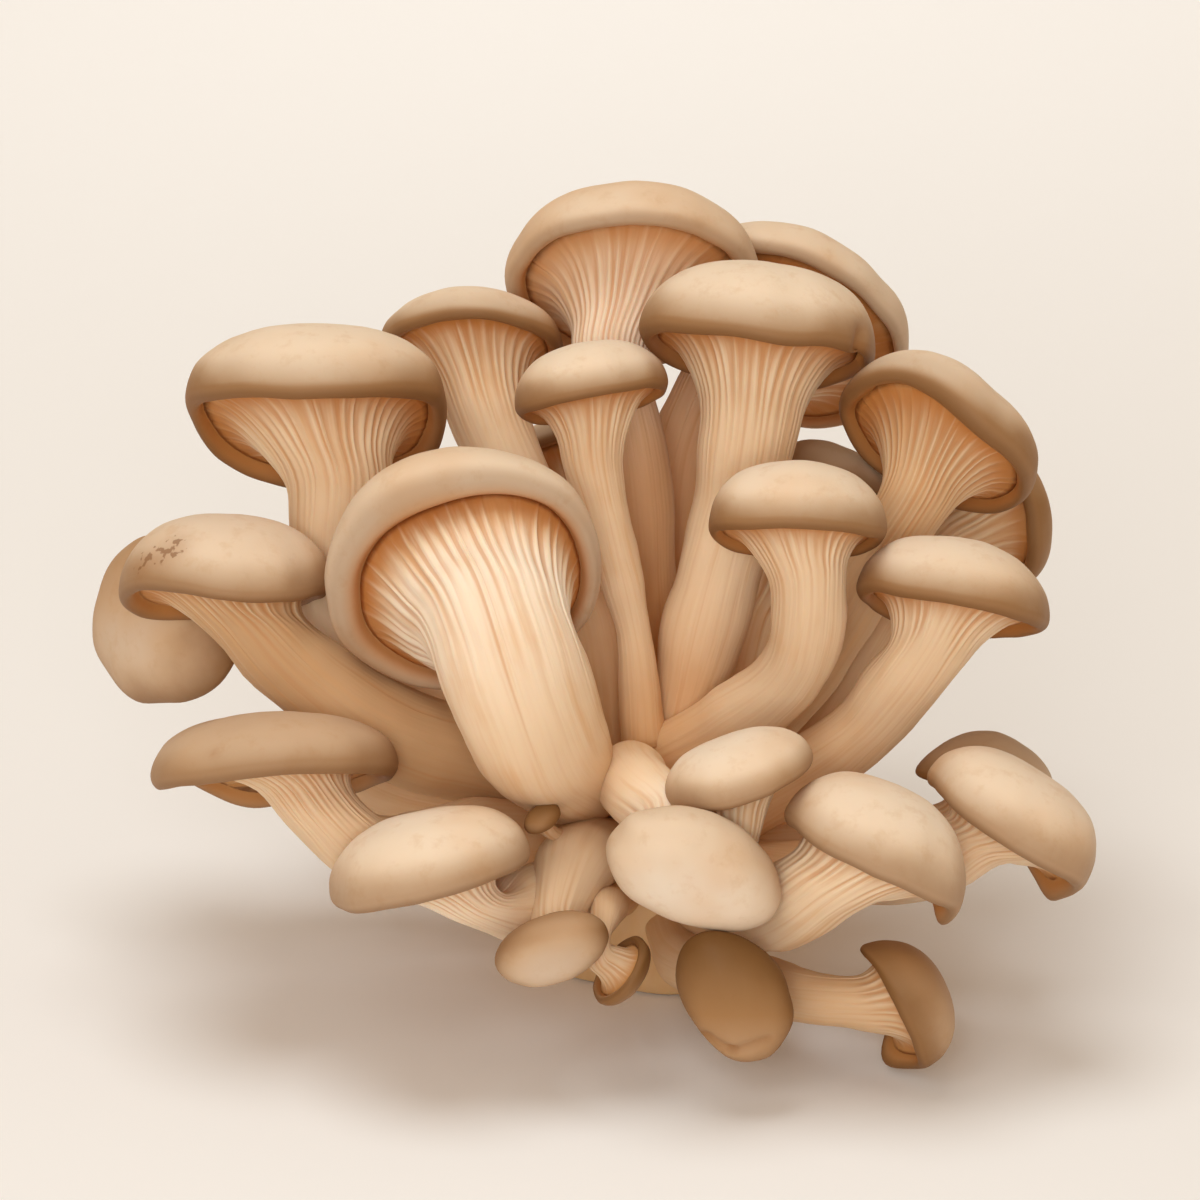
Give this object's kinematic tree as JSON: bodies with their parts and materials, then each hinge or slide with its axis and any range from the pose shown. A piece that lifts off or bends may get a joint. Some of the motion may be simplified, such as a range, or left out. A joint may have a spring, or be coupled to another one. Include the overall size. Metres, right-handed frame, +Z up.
{
  "type": "oyster mushroom cluster",
  "caption": "Cluster of pale oyster mushrooms with rounded beige caps, gills that run down cream stems, and one shared foot with a flat cut face to stand on.",
  "frame": {"origin": "middle of the foot's flat cut face, which the cluster stands on", "axes": "+Z up, away from the cut face; -Y to the front, where the tallest open cap of the front row is; +X to the right seen from the front"},
  "size_m": [0.1808, 0.1557, 0.1365],
  "materials": {
    "cap_skin": "soft matt beige skin, paler on the crown, grey-brown towards the margin",
    "gill_flesh": "matt cream gills and fibrous cream stems, warm tan in the shade",
    "foot_flesh": "matt cream flesh, with a paler cut face"
  },
  "bodies": {
    "root": {"foot": "foot_flesh", "front_left_tall_cap": "cap_skin", "front_left_tall_stem": "gill_flesh", "front_centre_cap": "cap_skin", "front_centre_stem": "gill_flesh", "front_bud_cap": "cap_skin", "front_bud_stem": "gill_flesh", "front_right_cap": "cap_skin", "front_right_stem": "gill_flesh", "front_left_low_cap": "cap_skin", "front_left_low_stem": "gill_flesh", "low_centre_cap": "cap_skin", "low_centre_stem": "gill_flesh", "low_left_cap": "cap_skin", "low_left_stem": "gill_flesh", "low_bud_cap": "cap_skin", "low_bud_stem": "gill_flesh", "low_right_cap": "cap_skin", "low_right_stem": "gill_flesh", "tiny_bud": "cap_skin", "middle_right_cap": "cap_skin", "middle_right_stem": "gill_flesh", "right_cap": "cap_skin", "right_stem": "gill_flesh", "left_cap": "cap_skin", "left_stem": "gill_flesh", "left_low_cap": "cap_skin", "left_low_stem": "gill_flesh", "far_right_cap": "cap_skin", "far_right_stem": "gill_flesh", "tall_right_cap": "cap_skin", "tall_right_stem": "gill_flesh", "upper_small_cap": "cap_skin", "upper_small_stem": "gill_flesh", "upper_right_cap": "cap_skin", "upper_right_stem": "gill_flesh", "upper_left_cap": "cap_skin", "upper_left_stem": "gill_flesh", "crown_cap": "cap_skin", "crown_stem": "gill_flesh", "behind_left_cap": "cap_skin", "behind_left_stem": "gill_flesh", "behind_crown_cap": "cap_skin", "behind_crown_stem": "gill_flesh", "behind_right_cap": "cap_skin", "behind_right_stem": "gill_flesh", "outer_left_cap": "cap_skin", "outer_left_stem": "gill_flesh", "outer_right_cap": "cap_skin", "outer_right_stem": "gill_flesh", "behind_middle_cap": "cap_skin", "behind_middle_stem": "gill_flesh", "back_upper_cap": "cap_skin", "back_upper_stem": "gill_flesh", "back_right_cap": "cap_skin", "back_right_stem": "gill_flesh", "back_left_cap": "cap_skin", "back_left_stem": "gill_flesh", "back_low_cap": "cap_skin", "back_low_stem": "gill_flesh"}
  },
  "joints": []
}
